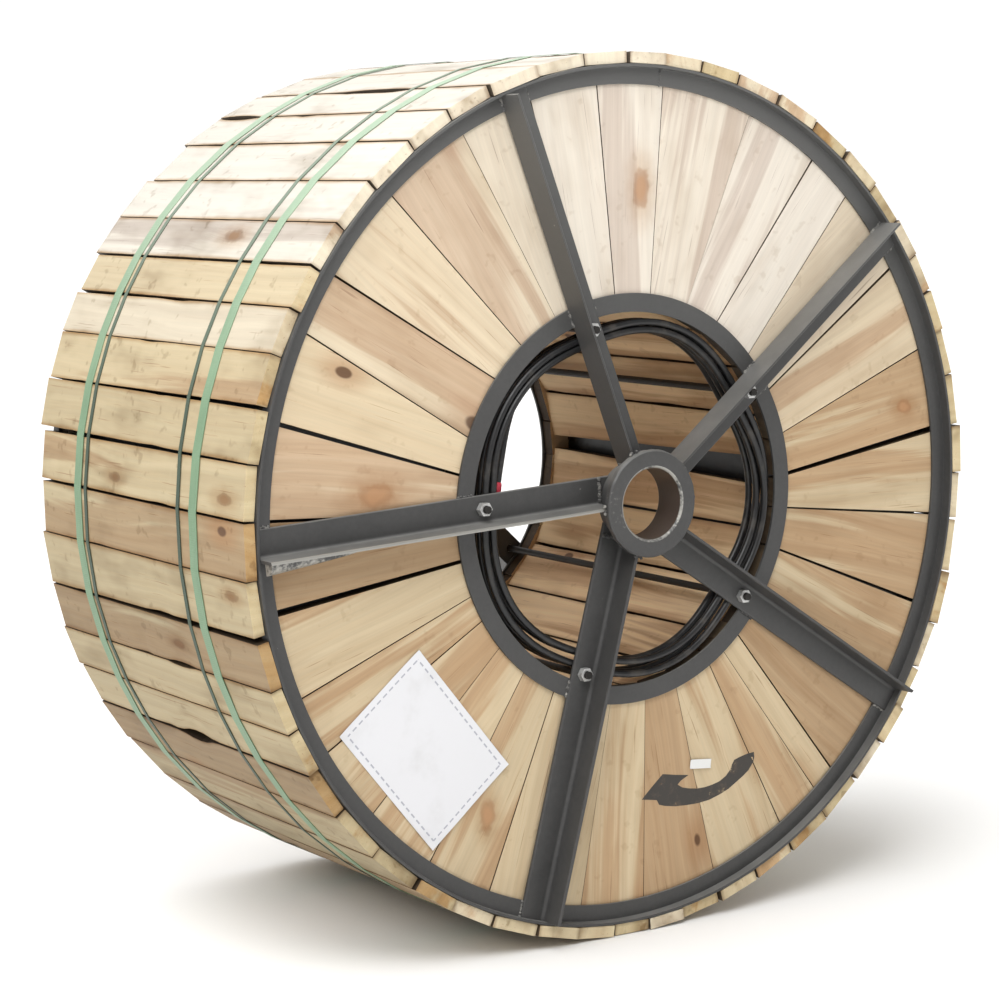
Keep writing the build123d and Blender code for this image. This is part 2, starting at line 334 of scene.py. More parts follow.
def addKnots(tree, colour, look):  # knots that show in known places, each with a centre, a radius and a stretch
    point = objectPoint(tree)
    wobble = noiseOf(point, (70, 70, 70), 2)
    for centre, radius, stretch in look["knotSpots"]:
        away = addNode("ShaderNodeVectorMath", {0: point, 1: centre}, operation="SUBTRACT").outputs[0]
        far = addNode("ShaderNodeVectorMath", {0: stretched(away, stretch)}, operation="LENGTH")
        reach = summed([(far.outputs["Value"], 1 / radius), (wobble, 0.9)], -0.45)
        colour = mixed(ramp(reach, 0.6, 3.2, 0.45, 0.0), colour, (204, 168, 128), "MULTIPLY")
        colour = mixed(ramp(reach, 0.85, 1.35, 0.5, 0.0), colour, look["knotRing"])
        colour = mixed(ramp(reach, 0.4, 0.9, 0.5, 0.0), colour, look["knotFill"])
    return colour


def makeWood(name, look):
    material, tree, shader = newMaterial(name)
    wood = placeGroup(sawnWood, {
        "Grain": attributeOf(tree, "grain"), "Tone": attributeOf(tree, "tone"), "Pale": tint(*look["pale"]),
        "Tan": tint(*look["tan"]), "Heart": tint(*look["heart"]), "Knots": look["knots"], "LightWash": look["lightWash"]})
    dirt = placeGroup(yardDirt, {"Point": attributeOf(tree, "grain"), "Place": attributeOf(tree, "place")})
    colour = wood["Color"]
    if "knotSpots" in look:
        colour = addKnots(tree, colour, look)
    for mask, name in (("Cloud", "dirt"), ("Edge", "edge")):
        share = times(dirt[mask], look[name + "Share"], True)
        colour = mixed(share, colour, look[name + "Colour"], "MULTIPLY")
    colour = mixed(times(dirt["End"], look["endDirt"]), colour, (150, 145, 132))
    connect(shader, {"Base Color": colour, "Roughness": wood["Rough"], "Specular IOR Level": 0.2},
            wood["Height"], (look["relief"], 0.0005))
    return material


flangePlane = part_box("front_flange_boards")[0].y
laggingRadius = axisPoint.z  # because the lowest board lies on the floor
plainCut = {"knots": 2.0, "edgeColour": (132, 98, 66), "endDirt": 0.0}  # sawn faces, where no knot shows
fanWood = makeWood("fan_wood", {
    "pale": (208, 190, 158), "tan": (192, 165, 128), "heart": (178, 144, 108), "knots": 0.88, "lightWash": 0.6,
    "dirtShare": 0.4, "dirtColour": (188, 168, 144), "edgeShare": 0.3, "edgeColour": (150, 116, 84),
    "endDirt": 0.15, "relief": 0.3, "knotRing": (154, 108, 72), "knotFill": (186, 142, 104),
    "knotSpots": ((around(0.398, 175.4, flangePlane), 0.014, (0.6, 1, 1)),
        (around(0.412, 87.5, flangePlane), 0.011, (1, 1, 0.45)),
        (around(0.505, 11.5, flangePlane), 0.009, (0.7, 1, 1)),
        (around(0.460, 240.5, flangePlane), 0.010, (1, 1, 0.5)))})
laggingWood = makeWood("lagging_wood", {
    "pale": (186, 171, 139), "tan": (171, 150, 117), "heart": (156, 129, 98), "knots": 0.95, "lightWash": 0.65,
    "dirtShare": 0.7, "dirtColour": (164, 150, 130), "edgeShare": 0.7, "edgeColour": (200, 160, 100),
    "endDirt": 0.6, "relief": 0.45, "knotRing": (108, 76, 48), "knotFill": (132, 96, 62),
    "knotSpots": tuple((around(laggingRadius, angle, y), size, (1, 0.4, 1)) for angle, y, size in (
        (176.4, -0.240, 0.007), (176.4, 0.062, 0.006), (188.0, -0.247, 0.006), (196.6, -0.070, 0.006),
        (143.4, -0.060, 0.009)))})
staveWood = makeWood("stave_wood", {
    "pale": (224, 198, 158), "tan": (202, 172, 130), "heart": (176, 140, 102), "knots": 0.90, "lightWash": 0.1,
    "dirtShare": 0.45, "dirtColour": (178, 160, 138), "edgeShare": 0.4, "edgeColour": (140, 106, 74),
    "endDirt": 0.0, "relief": 0.3})
endWood = makeWood("end_grain", {
    **plainCut, "pale": (208, 192, 154), "tan": (188, 160, 118), "heart": (180, 138, 84), "lightWash": 0.4,
    "dirtShare": 0.9, "dirtColour": (156, 134, 104), "edgeShare": 0.5, "relief": 0.7})
# board ends drawn very dark: painted shade of the ends inside the barrel, and dirt
shadedEndWood = makeWood("end_grain_painted_shade_and_dirt", {
    **plainCut, "pale": (92, 78, 60), "tan": (78, 64, 48), "heart": (62, 49, 36), "lightWash": 0.3, "dirtShare": 0.6,
    "dirtColour": (166, 146, 120), "edgeShare": 0.4, "relief": 0.5})
# board side faces in the seams drawn dark: painted shade of the gaps between boards
seamShadeWood = makeWood("seam_painted_shade", {
    **plainCut, "pale": (84, 70, 52), "tan": (68, 55, 41), "heart": (54, 43, 32), "lightWash": 0.3, "dirtShare": 0.6,
    "dirtColour": (150, 132, 108), "edgeShare": 0.0, "relief": 0.5})


# Boards

def middleOf(board):
    return sum((vert.co for vert in board), Vector()) / len(board)


def boardFrame(board, lay, look):  # centre, and unit vectors along, across and out of a board
    centre = middleOf(board)
    radial = Vector((centre.x, 0, centre.z - axisPoint.z)).normalized()
    across = Vector((-radial.z, 0, radial.x))
    if lay == "fan":
        return centre, radial, across, Vector((0, look, 0))
    return centre, Vector((0, 1, 0)), across, radial * look


def boardAngle(board):
    centre = middleOf(board)
    return degrees(atan2(centre.z - axisPoint.z, centre.x)) % 360


def islandGeometry(board):
    edges = {edge for vert in board for edge in vert.link_edges}
    return list(board) + list(edges) + list({face for vert in board for face in vert.link_faces})


def turnBetween(first, second):  # degrees, the short way round
    return abs((first - second + 180) % 360 - 180)


boardWaves = {
    "slow": 4.0, "fast": 17.0, "chips": 13.0, "chipFrom": 0.36, "sag": (2.5, 14), "corner": 2.5, "facing": 0.8}


def wearBoard(angle, local, half, style, seed):  # how far a vertex of a worn board moves, along, across and out
    along, across, out = local
    side = 1 if across > 0 else -1
    corner = boardWaves["corner"] * style["arris"]
    atEdge = abs(across) > half[1] - corner
    atEnd = abs(along) > half[0] - corner
    move = Vector((0, 0, 0))
    if atEdge:
        wave = noise.noise((along * boardWaves["slow"], seed, side * 3.7)) * 0.6
        wave += noise.noise((along * boardWaves["fast"], seed, side * 9.1)) * 0.4
        inward = style["wander"] * (0.5 + 0.5 * wave)
        if out > 0:
            chip = noise.noise((along * boardWaves["chips"], seed * 1.7, side * 5.3)) - boardWaves["chipFrom"]
            chip = max(0.0, chip) * style["chip"]
            inward += chip - style.get("flare", 0.0)
            move.z -= chip
        seam = angle + side * degrees(atan2(half[1], style["radius"]))
        for place, first, last in style.get("gaps", ()):  # seams that are wider at one end
            if turnBetween(seam, place) < style["seamReach"]:
                inward += first + (last - first) * (along + half[0]) / (2 * half[0])
        for place, spot, reach, depth in style.get("splits", ()):  # edges that have broken away
            if turnBetween(seam, place) < style["seamReach"] and abs(along - spot) < reach:
                inward += depth * (1 - ((along - spot) / reach) ** 2)
        move.y = -side * inward
    if atEnd:
        skew = noise.noise((seed * 2.3, along, 4.2)) * across / half[1]
        move.x = style["endSkew"] * (skew - 1) * (1 if along > 0 else -1) / 2
    if out > 0:
        slow, fast = boardWaves["sag"]
        move.z -= style["sag"] * (0.5 + 0.5 * noise.noise((along * slow, across * fast, seed)))
    return move


def toneOf(style, angle, draw):  # heartwood and brightness of the board at an angle, drawn where none shows
    # the brightness rows are partly the boards' own tone, partly painted light
    rows = [row for row in style["byAngle"] if row[0] <= angle]
    drift = draw.uniform(-0.05, 0.05)
    if rows and angle < style.get("seenTo", 360):
        return rows[-1][1] + drift, rows[-1][2] + drift
    return draw.uniform(0.0, 0.5), draw.uniform(-0.6, 1.2)


def dressBoards(mesh, lay, look, style, seed):
    draw = random.Random(seed)
    roundEdges(mesh, list(mesh.edges), style["arris"])
    for board in islandsOf(mesh):
        centre, along = boardFrame(board, lay, look)[:2]
        reach = [(vert.co - centre).dot(along) for vert in board]
        geometry = islandGeometry(board)
        for step in range(1, style["cuts"]):
            spot = min(reach) + (max(reach) - min(reach)) * step / style["cuts"]
            made = bmesh.ops.bisect_plane(mesh, geom=geometry, dist=1e-6, plane_co=centre + along * spot,
                                          plane_no=along)
            geometry = list(set(made["geom"]) | {item for item in geometry if item.is_valid})
    layers = {name: mesh.verts.layers.float_vector.new(name) for name in ("grain", "tone", "place")}
    for board in sorted(islandsOf(mesh), key=boardAngle):
        centre, along, across, out = boardFrame(board, lay, look)
        axes = Matrix((along, across, out))
        local = {vert: axes @ (vert.co - centre) for vert in board}
        half = [max(abs(spot[axis]) for spot in local.values()) for axis in range(3)]
        shift = Vector((draw.uniform(-40, 40), draw.uniform(-40, 40), 0))
        angle = boardAngle(board)
        heart, bright = toneOf(style, angle, draw)
        mood = Vector((bright, heart, draw.uniform(-1, 1)))
        drop = draw.uniform(0, style["drop"])
        for face in {face for vert in board for face in vert.link_faces}:
            isEnd = abs(face.normal.dot(along)) > boardWaves["facing"]
            isEdge = abs(face.normal.dot(across)) > boardWaves["facing"]
            # ends take slot 1, and side faces take slot 2, the painted shade of the seams
            face.material_index = 1 if isEnd else 2 if isEdge else 0
        back = axes.transposed()
        for vert, spot in local.items():
            vert[layers["grain"]] = spot + shift
            vert[layers["tone"]] = mood
            vert[layers["place"]] = (spot.x / half[0], spot.y / half[1], 0)
            move = wearBoard(angle, spot, half, style, shift.x)
            if spot.z > 0:
                move.z -= drop
            vert.co += back @ move


fanBoards = {
    "arris": 0.0005, "cuts": 9, "wander": 0.0005, "chip": 0.003, "endSkew": 0.0, "sag": 0.0003, "drop": 0.0011,
    "radius": 0.41,
    # rows: angle, heartwood, brightness; the brightness is partly the boards' own tone and partly painted light,
    # lighter towards the top
    "byAngle": ((0, 0.60, -0.5), (7, 0.75, -0.4), (19, 0.40, 0.5), (33, 0.10, 0.7), (40, 0.50, 1.0),
        (47, 0.15, 1.4), (56, 0.45, 1.4), (69, 0.60, 1.2), (85, 0.45, 1.3), (96, 0.20, 1.3), (108, 0.30, 0.9),
        (119, 0.60, 0.7), (133, 0.35, 0.5), (146, 0.65, 0.5), (155, 0.40, 0.3), (167, 0.60, 0.5),
        (179, 0.90, -0.7), (192, 0.50, -0.4), (204, 0.55, -0.4), (212, 0.50, -0.4), (223, 0.50, -0.2),
        (234, 0.60, -0.3), (246, 0.35, -0.2), (258, 0.50, 0.0), (273, 0.85, -0.4), (286, 0.50, -0.3),
        (300, 0.50, -0.2), (308, 0.20, -0.2), (316, 0.95, -0.9), (328, 0.60, -0.4), (341, 0.60, -0.6),
        (354, 0.50, -0.5))}
laggingPlanks = {
    "arris": 0.0005, "cuts": 30, "wander": 0.0005, "chip": 0.004, "endSkew": 0.005, "sag": 0.0003, "drop": 0.0007,
    "flare": 0.0006, "radius": 0.584, "seamReach": 1.6, "seenTo": 240,
    # rows: angle, heartwood, brightness; the brightness is partly the boards' own tone and partly painted light,
    # lighter at the top and darker towards the lower left
    "byAngle": ((85, 0.10, 1.7), (120, 0.15, 1.5), (127, 0.05, 1.7), (134, 0.10, 1.6), (141, 0.40, 1.3),
        (147, 0.35, 0.4), (153, 0.10, 0.8), (158.5, 0.45, 0.2), (165, 0.30, -0.5), (172, 0.20, -0.3),
        (179, 0.50, -0.7), (186, 0.30, -0.6), (193, 0.75, -1.2), (199.5, 0.20, -0.7), (205.5, 0.20, -0.8),
        (211.5, 0.80, -1.5), (218, 0.40, -1.2), (226, 0.50, -1.4)),
    "gaps": ((152.7, -0.0002, 0.0012), (165.0, 0.0006, -0.0011), (171.8, -0.0011, 0.0013),
        (178.7, 0.0000, 0.0004), (193.0, 0.0014, -0.0012), (147.0, 0.0003, 0.0000)),
    "splits": ((211.5, 0.000, 0.045, 0.008), (113.6, -0.030, 0.090, 0.005), (120.2, 0.240, 0.060, 0.005),
        (199.6, -0.060, 0.040, 0.003))}
barrelPlanks = {
    "arris": 0.0007, "cuts": 10, "wander": 0.0008, "chip": 0.004, "endSkew": 0.0, "sag": 0.0004, "drop": 0.0006,
    "radius": 0.257, "seamReach": 2.5, "gaps": ((4.5, 0.0110, 0.0),),
    # rows: angle, heartwood, brightness; the lower staves, from 190 to 335 degrees, are drawn brighter: painted
    # light inside the barrel
    "byAngle": ((0, 0.5, 0.3), (20, 0.6, 0.4), (150, 0.5, 0.6), (190, 0.3, 2.8), (300, 0.4, 2.4),
        (335, 0.4, 0.8))}

for side, look in faces.items():
    boards = cadCopy(f"{side}_flange_boards")
    dressBoards(boards, "fan", look, fanBoards, 11 + look)
    finishPiece(f"{side}_fan_boards", boards, [fanWood, shadedEndWood, seamShadeWood],
                [f"{side}_flange_boards"], False)
planks = cadCopy("lagging_boards")
dressBoards(planks, "plank", 1, laggingPlanks, 29)
finishPiece("lagging_planks", planks, [laggingWood, endWood, seamShadeWood], ["lagging_boards"], False)
planks = cadCopy("barrel_staves")
dressBoards(planks, "plank", -1, barrelPlanks, 47)
finishPiece("barrel_planks", planks, [staveWood, shadedEndWood, seamShadeWood], ["barrel_staves"], False)
print("boards dressed")


# Steel frames

def makePaintWearGroup():  # where paint has gone from edges or rusted, and where dust and a painted sheen lie on upward faces
    tree, given, out = startGroup("paintWear", [("Point", "Vector"), ("Edge", "Float"), ("Up", "Float")],
                                  [("Bare", "Float"), ("Rust", "Float"), ("DustAndSheen", "Float"), ("Mottle", "Float")])
    coarse = noiseOf(given["Point"], (14, 14, 14), 4, 0.6)
    small = noiseOf(given["Point"], (160, 160, 160), 3, 0.6)
    rubbed = summed([(given["Edge"], 0.42), (coarse, 0.7), (small, 0.45)], -0.35)
    nicks = ramp(summed([(small, 0.6), (coarse, 0.6)]), 0.82, 0.88)
    bare = calc("MAXIMUM", ramp(rubbed, 0.52, 0.66), times(nicks, 0.8))
    # upward faces drawn lighter: dust, and painted sheen from the light above
    dust = times(ramp(given["Up"], 0.25, 0.95), summed([(coarse, 0.9)], 0.15), True)
    feed(out, {"Bare": bare, "Rust": times(given["Edge"], -0.85, True), "DustAndSheen": dust,
               "Mottle": summed([(coarse, 0.6), (small, 0.5)], -0.05)})
    return tree


paintWear = makePaintWearGroup()
paintLook = {
    # the dust colour also stands for painted sheen on upward faces
    "dark": (46, 46, 46), "light": (76, 75, 74), "bare": (164, 162, 156), "dust": (150, 149, 145),
    # the last colour is painted light from above, towards the top
    "rust": (62, 48, 40), "topLit": (122, 122, 120)}


def makePaint(name, look):
    material, tree, shader = newMaterial(name)
    normal = tree.nodes.new("ShaderNodeNewGeometry").outputs["Normal"]
    upward = split(normal)[2]
    wear = placeGroup(paintWear, {"Point": objectPoint(tree), "Edge": attributeOf(tree, "wear", "Fac"),
                                        "Up": upward})
    colour = mixed(wear["Mottle"], look["dark"], look["light"])
    # dust and painted sheen on upward faces
    colour = mixed(times(wear["DustAndSheen"], 0.7), colour, look["dust"])
    # painted light from above: the paint drawn lighter towards the top
    colour = paintedTopLight(tree, colour, look, 0.35)
    colour = mixed(wear["Rust"], colour, look["rust"])
    colour = mixed(wear["Bare"], colour, look["bare"])
    rough = summed([(wear["Mottle"], 0.2), (wear["DustAndSheen"], 0.15)], 0.36)
    connect(shader, {"Base Color": colour, "Roughness": rough, "Specular IOR Level": 0.5,
                           "Metallic": times(wear["Bare"], 0.7)}, wear["Mottle"], (0.25, 0.0004))
    return material


framePaint = makePaint("charcoal_paint", paintLook)
rimAngle = {"faceWidth": 0.026, "lip": 0.014, "steel": 0.004, "soften": 0.0009, "steps": 192, "seam": 85.5}
innerRing = {"faceWidth": 0.025, "soften": 0.0008, "steps": 144}
hubTube = {
    "bore": 0.0475, "pipe": 0.0525, "collar": 0.0097, "chamfer": 0.0025, "soften": 0.0008, "steps": 96,
    "rubbed": 0.42, "brightTo": 0.055, "rustTo": 0.0485, "raggedFrom": 0.070, "ragged": 0.0026}


def rimProfile(radius, outer, inner, look):
    face = outer - look * rimAngle["lip"]
    lip = radius - rimAngle["steel"]
    hollow = radius - rimAngle["faceWidth"]
    return [(hollow, face), (lip, face), (lip, outer), (radius, outer), (radius, inner), (hollow, inner)]


def hubProfile(radius, outer, inner, look):
    bevel, bore = hubTube["chamfer"], hubTube["bore"]
    step, seatY = outer - look * bevel, outer - look * hubTube["collar"]
    return [(bore, inner), (bore, step), (bore + bevel, outer), (radius - bevel, outer), (radius, step),
            (radius, seatY), (hubTube["pipe"], seatY), (hubTube["pipe"], inner)]


def ringProfile(radius, outer, inner, look):
    hollow = radius - innerRing["faceWidth"]
    return [(hollow, outer), (radius, outer), (radius, inner), (hollow, inner)]


spunPieces = {"rim": (rimProfile, rimAngle), "inner_ring": (ringProfile, innerRing), "hub": (hubProfile, hubTube)}
for side, look in faces.items():
    for name, (profile, style) in spunPieces.items():
        node = f"{side}_{name}"
        low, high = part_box(node)
        outer, inner = (low.y, high.y) if look < 0 else (high.y, low.y)
        ring = spunRing(profile((high.x - low.x) / 2, outer, inner, look), style)
        finishPiece(f"{node}_steel", ring, [framePaint], [node])

spokeAngle = {
    "soften": 0.001, "count": 5, "first": 39.5, "pitch": 72, "leg": 0.040, "steel": 0.004, "rodOffset": 0.020,
    "rodCircle": 0.240, "sharp": 50, "edgeWear": 1.0, "toeWear": 1.4, "bare": ("front", 3)}  # left unpainted
spokeNumbers = range(1, spokeAngle["count"] + 1)
for side in faces:
    for number in spokeNumbers:
        node = f"{side}_spoke_{number}"
        bar = cadCopy(node)
        wear = bar.faces.layers.float.new("wear")
        for face in roundEdges(bar, sharpEdges(bar, spokeAngle["sharp"]), spokeAngle["soften"]):
            face[wear] = spokeAngle["edgeWear"]
        if (side, number) == spokeAngle["bare"]:
            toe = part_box(node)[0].y + spokeAngle["steel"]
            for face in bar.faces:
                if face.normal.y < -0.3 and face.calc_center_median().y < toe:
                    face[wear] = spokeAngle["toeWear"]
        finishPiece(f"{node}_angle", bar, [framePaint], [node])
print("steel frames dressed")


def onFlange(side, number, along, across, out):  # a point beside a spoke: out is the distance from mid width
    turn = spokeAngle["first"] + (number - 1) * spokeAngle["pitch"]
    spot = around(along, turn, -out) + (around(1, turn + 90) - axisPoint) * across
    if side == "front":
        return spot
    hole = spokeAngle["first"] - degrees(asin(spokeAngle["rodOffset"] / spokeAngle["rodCircle"]))
    flip = Matrix.Rotation(radians(180 - 2 * hole), 3, "Y") @ Matrix.Rotation(pi, 3, "Z")
    return axisPoint + flip @ (spot - axisPoint)


weldBeads = {
    "size": 0.0034, "pitch": 0.0042, "jitter": 0.0007, "blob": 0.0026, "step": 0.001, "toCollar": 0.016,
    "sideRun": (0.022, 0.003), "wear": 0.8, "bareWear": 1.0}


def layBlob(mesh, spot, radius):
    bmesh.ops.create_icosphere(mesh, subdivisions=1, radius=radius, matrix=Matrix.Translation(spot))


def layBead(mesh, start, end, draw, size=1.0):  # a row of overlapping ripples of weld metal
    count = max(2, round((end - start).length / weldBeads["pitch"]))
    for step in range(count + 1):
        spot = start.lerp(end, step / count)
        spot += Vector([draw.uniform(-1, 1) * weldBeads["jitter"] for axis in range(3)])
        layBlob(mesh, spot, weldBeads["size"] * size * draw.uniform(0.75, 1.2))


bareWedge = {
    "length": 0.120, "wide": 0.015, "deep": 0.016, "steps": 12, "turns": (0.0, 0.4, 0.8, 1.2, 1.57),
    "below": 0.0015, "inset": 0.006, "taper": 0.8, "least": 0.02, "bite": 0.001, "skirt": 0.002}


def wedgeSection(side, number, step):
    root, top = spokeAngle["steel"] / 2, legTip - bareWedge["below"]
    size = (1 - step / bareWedge["steps"]) ** bareWedge["taper"] + bareWedge["least"]
    along = rimRadius - bareWedge["inset"] - bareWedge["length"] * step / bareWedge["steps"]
    wide, deep = bareWedge["wide"] * size, bareWedge["deep"] * size
    bulge = [(root + wide * sin(turn), top - deep * (1 - cos(turn))) for turn in bareWedge["turns"]]
    inside = root - bareWedge["bite"]
    section = [(inside, top)] + bulge + [(inside, top - deep - bareWedge["skirt"])]
    return [onFlange(side, number, along, across, out) for across, out in section]


def layWedge(mesh, side, number):  # a smooth bare run of weld that tapers along the edge of a standing leg
    first = [mesh.verts.new(spot) for spot in wedgeSection(side, number, 0)]
    face = mesh.faces.new(first)
    for step in range(1, bareWedge["steps"] + 1):
        face = bmesh.ops.extrude_discrete_faces(mesh, faces=[face])["faces"][0]
        for vert, spot in zip(list(face.verts), wedgeSection(side, number, step)):
            vert.co = spot
    mesh.faces.new(first)
    bmesh.ops.recalc_face_normals(mesh, faces=list(mesh.faces))


rimRadius = (rimHigh.x - rimLow.x) / 2
hubLow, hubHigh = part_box("front_hub")
hubRadius = (hubHigh.x - hubLow.x) / 2
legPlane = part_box("front_spoke_1")[1].y * -1  # the plane that the spokes lie on, from mid width
legFace, legTip = legPlane + spokeAngle["steel"], legPlane + spokeAngle["leg"]
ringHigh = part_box("front_inner_ring")[1]
for side in faces:
    beads = bmesh.new()
    draw = random.Random(71)
    for number in spokeNumbers:
        low, high = spokeAngle["steel"] / 2 - spokeAngle["leg"], spokeAngle["steel"] / 2
        gap, (sideFrom, sideTo) = weldBeads["step"], weldBeads["sideRun"]
        pipe = hubTube["pipe"] + gap
        runs = [((pipe, low * 0.9, legFace), (pipe, -high, legFace), 1.0),  # flat leg to pipe
                ((pipe, high, legFace), (pipe, high, legTip - 3 * gap), 1.0),  # standing leg to pipe
                ((hubRadius - weldBeads["toCollar"], high, legTip),
                 (hubRadius - gap, high, legTip), 0.9)]  # and to collar
        for across in (low, high):
            for edge in (ringHigh.x, rimRadius - sideTo):
                runs.append(((edge - sideFrom, across, legPlane), (edge - sideTo, across, legPlane), 0.8))
        for start, end, size in runs:
            layBead(beads, onFlange(side, number, *start), onFlange(side, number, *end), draw, size)
        for across in (-high - 3 * gap, high + 3 * gap):  # blobs where the collar sits on the standing leg
            layBlob(beads, onFlange(side, number, hubRadius, across, legTip + 2 * gap), weldBeads["blob"])
    lipRoot = rimRadius - rimAngle["steel"]
    seamEnds = [(rimRadius - rimAngle["faceWidth"], legPlane), (lipRoot, legPlane),
                (lipRoot, legPlane + rimAngle["lip"] - rimAngle["steel"])]
    seamSpots = [around(radius, rimAngle["seam"], faces[side] * out) for radius, out in seamEnds]
    layBead(beads, seamSpots[0], seamSpots[1], draw, 0.5)  # where the rim was welded shut
    layBead(beads, seamSpots[1], seamSpots[2], draw, 0.5)
    painted = len(beads.faces)
    if side == spokeAngle["bare"][0]:
        layWedge(beads, *spokeAngle["bare"])
    beads.faces.index_update()
    wear = beads.faces.layers.float.new("wear")
    for face in beads.faces:
        face[wear] = weldBeads["wear" if face.index < painted else "bareWear"]
    finishPiece(f"{side}_weld_beads", beads, [framePaint])
print("welds laid")


# Rods and nuts

def makePlate(name, look):
    material, tree, shader = newMaterial(name)
    point = objectPoint(tree)
    spangle = noiseOf(point, (220, 220, 220), 3, 0.6)
    stain = ramp(noiseOf(point, (70, 70, 70), 3), 0.5, 0.7)
    colour = mixed(spangle, look["dull"], look["bright"])
    colour = mixed(times(stain, 0.5), colour, look["stain"])
    connect(shader, {"Base Color": colour, "Roughness": summed([(spangle, 0.3)], look["rough"]),
                           "Metallic": look["metal"]}, spangle, (0.3, 0.0003))
    return material


nutPlate = makePlate("zinc_plate", {
    "dull": (168, 168, 166), "bright": (226, 226, 224), "stain": (120, 114, 104), "rough": 0.22, "metal": 0.55})
rodSteel = makePlate("dull_rod", {
    "dull": (30, 29, 28), "bright": (58, 55, 52), "stain": (56, 42, 32), "rough": 0.42, "metal": 0.5})
nutStyle = {"sharp": 40, "soften": 0.0008}


def repaint(name, finish):  # for a solid that is used as it is
    nodes[name].data.materials.clear()
    nodes[name].data.materials.append(finish)


for side in faces:
    nuts = cadCopy(f"{side}_nuts")
    roundEdges(nuts, sharpEdges(nuts, nutStyle["sharp"]), nutStyle["soften"])
    finishPiece(f"{side}_hex_nuts", nuts, [nutPlate], [f"{side}_nuts"])
for number in spokeNumbers:
    repaint(f"tie_rod_{number}", rodSteel)


# Cable

def makeJacket(name, look):
    material, tree, shader = newMaterial(name)
    point = objectPoint(tree)
    scuff = noiseOf(point, (120, 120, 120), 4, 0.6)
    dust = ramp(noiseOf(point, (30, 30, 30), 4, 0.6), 0.5, 0.75)
    colour = mixed(times(dust, look["dust"]), look["colour"], look["dustColour"])
    rough = summed([(scuff, 0.3), (dust, 0.1)], look["rough"])
    connect(shader, {"Base Color": colour, "Roughness": rough, "Specular IOR Level": 0.5}, scuff, (0.15, 0.0003))
    return material


jacket = makeJacket("cable_jacket", {
    "colour": (22, 22, 23), "dust": 0.35, "dustColour": (96, 90, 82), "rough": 0.24})
capPlastic = makeJacket("cap_plastic", {
    "colour": (196, 52, 70), "dust": 0.3, "dustColour": (214, 150, 146), "rough": 0.3})
capStyle = {"sharp": 50, "soften": 0.003, "segments": 3}
tailCoil = {
    "diameter": 0.0096, "pitch": 0.010, "perTurn": 30, "turns": 5, "leadAngle": 4.5, "leadTurn": 32,
    "lead": ((0.2565, 0, 0.013), (0.251, 7, 0.012), (0.243, 14, 0.010), (0.2355, 22, 0.007)),
    "bulge": 0.0122, "bulgePower": 1.3, "bulgeRight": 0.3, "rodAngle": 34.72, "slack": 0.8, "tightAt": 115,
    "change": (0.8, 0.2), "rise": (50, 46),
    "lanes": ((0, 0), (0, 1), (0, 2), (1, 2), (1, 1), (1, 0))}  # layer and place of each turn


def eased(value, start, length):
    share = min(1.0, max(0.0, (value - start) / length))
    return share * share * (3 - 2 * share)


def coilPoints():  # turns that lie against the rods, bulge between them and hang apart low down
    low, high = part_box("cable_tail_coil")
    pitch, lanes = tailCoil["pitch"], tailCoil["lanes"]
    outer, front = (high.x - low.x) / 2 - pitch / 2, low.y + pitch / 2
    capLow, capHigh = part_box("cable_end_cap")
    cap = (capLow + capHigh) / 2
    capRadius = hypot(cap.x, cap.z - axisPoint.z)
    start = tailCoil["leadAngle"]
    back = high.y - pitch / 2
    points = [around(radius, start + turn, back + deep) for radius, turn, deep in tailCoil["lead"]]
    first = start + tailCoil["leadTurn"]
    last = degrees(atan2(cap.z - axisPoint.z, cap.x)) % 360 + 360 * tailCoil["turns"]
    steps = round((last - first) / 360 * tailCoil["perTurn"])
    for step in range(steps + 1):
        angle = first + (last - first) * step / steps
        turn = (angle - first) / 360
        lane = min(int(turn), len(lanes) - 1)
        ease = eased(turn - lane, *tailCoil["change"])
        here, after = lanes[lane], lanes[min(lane + 1, len(lanes) - 1)]
        layer = here[0] + (after[0] - here[0]) * ease
        deeper = 2 - here[1] - (after[1] - here[1]) * ease
        loose = 1 + tailCoil["slack"] * (0.5 - 0.5 * cos(radians(angle - tailCoil["tightAt"])))
        swell = abs(sin(radians(spokeAngle["count"] / 2 * (angle - tailCoil["rodAngle"]))))
        bulge = tailCoil["bulge"] * swell ** tailCoil["bulgePower"]
        bulge *= 1 + tailCoil["bulgeRight"] * max(0.0, cos(radians(angle)))
        radius = outer + bulge - layer * pitch * loose
        y = front + deeper * pitch * loose
        rise = eased(angle, last - tailCoil["rise"][0], tailCoil["rise"][1])
        points.append(around(radius + (capRadius - radius) * rise, angle, y + (cap.y - y) * rise))
    return points


def makeCord(name, points, diameter):
    curve = bpy.data.curves.new(name, "CURVE")
    curve.dimensions = "3D"
    spline = curve.splines.new("NURBS")
    spline.points.add(len(points) - 1)
    for spot, point in zip(spline.points, points):
        spot.co = (*point, 1)
    spline.order_u = 3
    spline.use_endpoint_u = True
    curve.bevel_depth = diameter / 2
    curve.bevel_resolution = 4
    curve.resolution_u = 4
    curve.materials.append(jacket)
    return curve


def lengthOf(curve):  # measured on the smooth line, with no thickness
    bare = curve.copy()
    bare.bevel_depth = 0
    holder = bpy.data.objects.new("measure", bare)
    line = bpy.data.meshes.new_from_object(holder)
    ends = [[line.vertices[index].co for index in edge.vertices] for edge in line.edges]
    total = sum((first - second).length for first, second in ends)
    bpy.data.meshes.remove(line)
    bpy.data.objects.remove(holder)
    bpy.data.curves.remove(bare)
    return total


